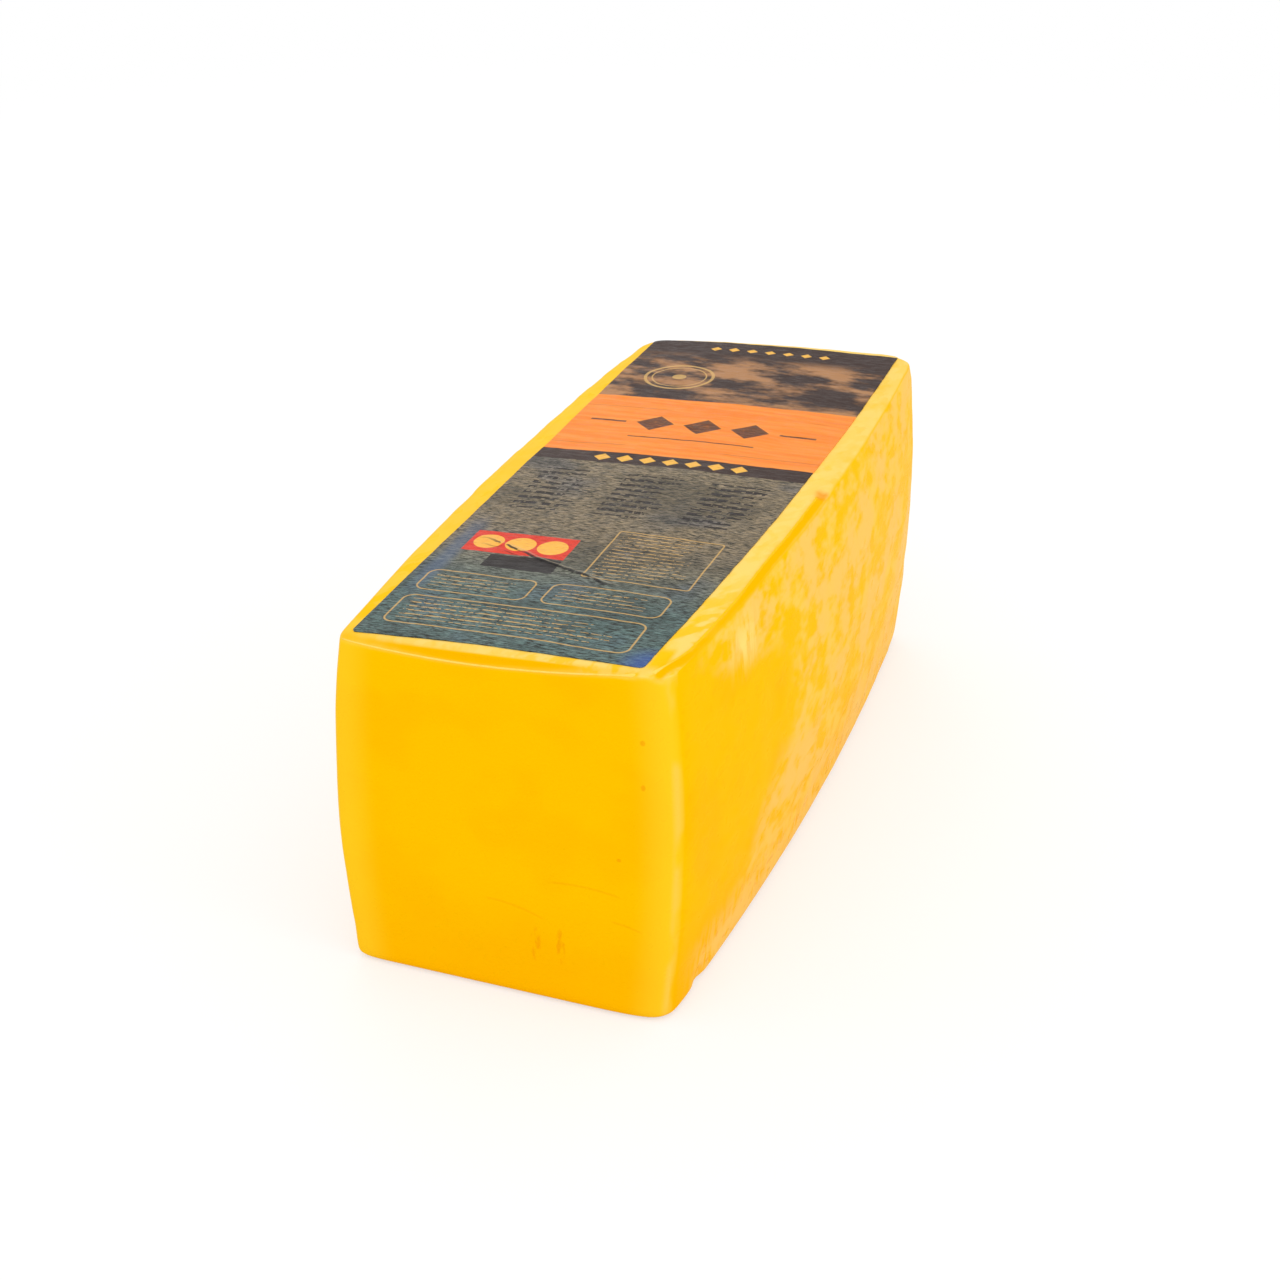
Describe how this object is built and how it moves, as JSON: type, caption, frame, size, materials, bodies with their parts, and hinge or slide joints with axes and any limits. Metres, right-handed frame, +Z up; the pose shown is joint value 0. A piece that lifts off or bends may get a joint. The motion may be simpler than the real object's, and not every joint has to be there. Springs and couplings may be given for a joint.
{
  "type": "butter cheese block",
  "caption": "Long square-ended loaf of mild yellow cheese in a tight film, with a dark printed label along its top and a flat base to stand on.",
  "frame": {"origin": "centre of the bounding box, on the base plane", "axes": "+Z up, +Y along the loaf away from its plain front end, +X to the right seen from that end"},
  "size_m": [0.1184, 0.2618, 0.112],
  "materials": {
    "cheese_film": "tight translucent film over deep yellow cheese, satin gloss",
    "label_print": "satin printed label, slate with an orange band"
  },
  "bodies": {
    "root": {"cheese_loaf": "cheese_film", "label": "label_print"}
  },
  "joints": []
}
